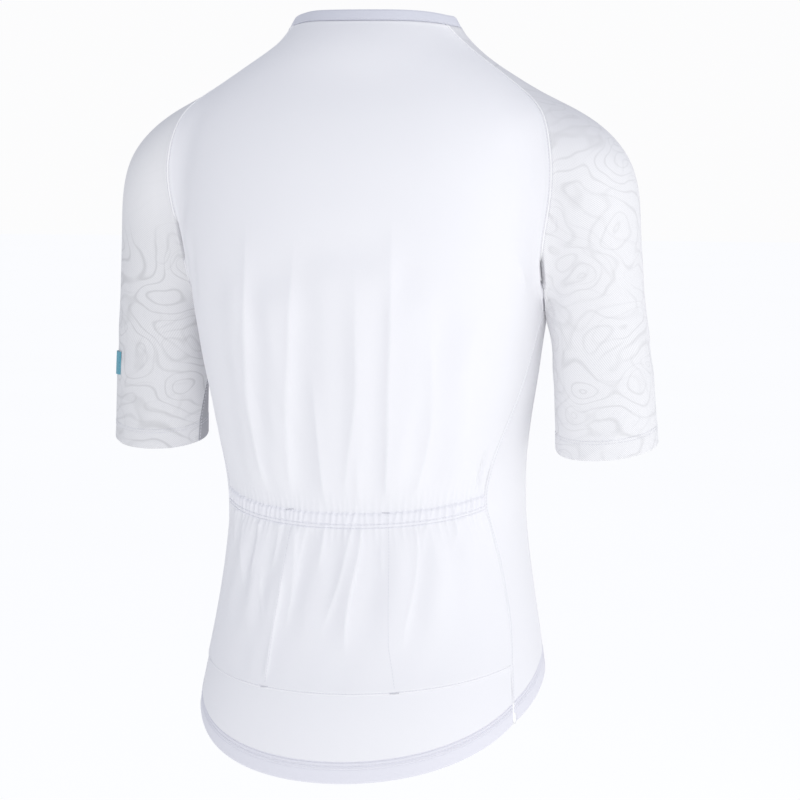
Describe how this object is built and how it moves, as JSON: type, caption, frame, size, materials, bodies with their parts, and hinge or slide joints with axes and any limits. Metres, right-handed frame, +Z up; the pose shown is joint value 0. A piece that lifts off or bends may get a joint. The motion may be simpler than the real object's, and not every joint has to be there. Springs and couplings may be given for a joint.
{
  "type": "cycling jersey",
  "caption": "Short-sleeved raglan cycling jersey in its hollow worn shape, with a low collar, a front zip, a drop tail and open-topped back pockets under a gathered elastic band.",
  "frame": {"origin": "the middle of the shoulders, inside the neck, where the wearer's shoulders hold the jersey up", "axes": "+Z up, -Y out of the zipped front, +Y out of the back, +X towards the wearer's left sleeve"},
  "size_m": [0.52, 0.2651, 0.6829],
  "materials": {
    "body_knit": "smooth fine polyester knit, white, faint sheen",
    "elastic_band": "gathered elastic binding, white",
    "hem_band": "folded elastic hem band, smooth, pale grey-white",
    "sleeve_mesh": null,
    "underarm_mesh": "plain pale grey mesh knit",
    "collar_knit": "double smooth knit, pale grey-white",
    "zip_tape": "woven zip tape with a fine nylon coil",
    "zip_metal": "satin metal",
    "pull_tab": "moulded soft plastic",
    "sleeve_tab": "blank turquoise bonded patch"
  },
  "bodies": {
    "jersey": {"back_panel": "body_knit", "front_left": "body_knit", "front_right": "body_knit", "pocket_panel": "body_knit", "pocket_band": "elastic_band", "hem_band_back": "hem_band", "hem_band_left": "hem_band", "hem_band_right": "hem_band", "sleeve_left": "sleeve_mesh", "sleeve_right": "sleeve_mesh", "underarm_wedge_left": "underarm_mesh", "underarm_wedge_right": "underarm_mesh", "collar_band": "collar_knit", "zip_tape_left": "zip_tape", "zip_tape_right": "zip_tape", "zip_slider": "zip_metal", "sleeve_tab": "sleeve_tab"},
    "pull_tab": {"zip_pull": "pull_tab"}
  },
  "joints": [
    {"name": "pull_tab_swing", "type": "hinge", "parent": "jersey", "child": "pull_tab", "pos_m": [0, -0.09533, -0.02241], "axis": [-1, 0, 0], "range_deg": [0, 170]}
  ]
}
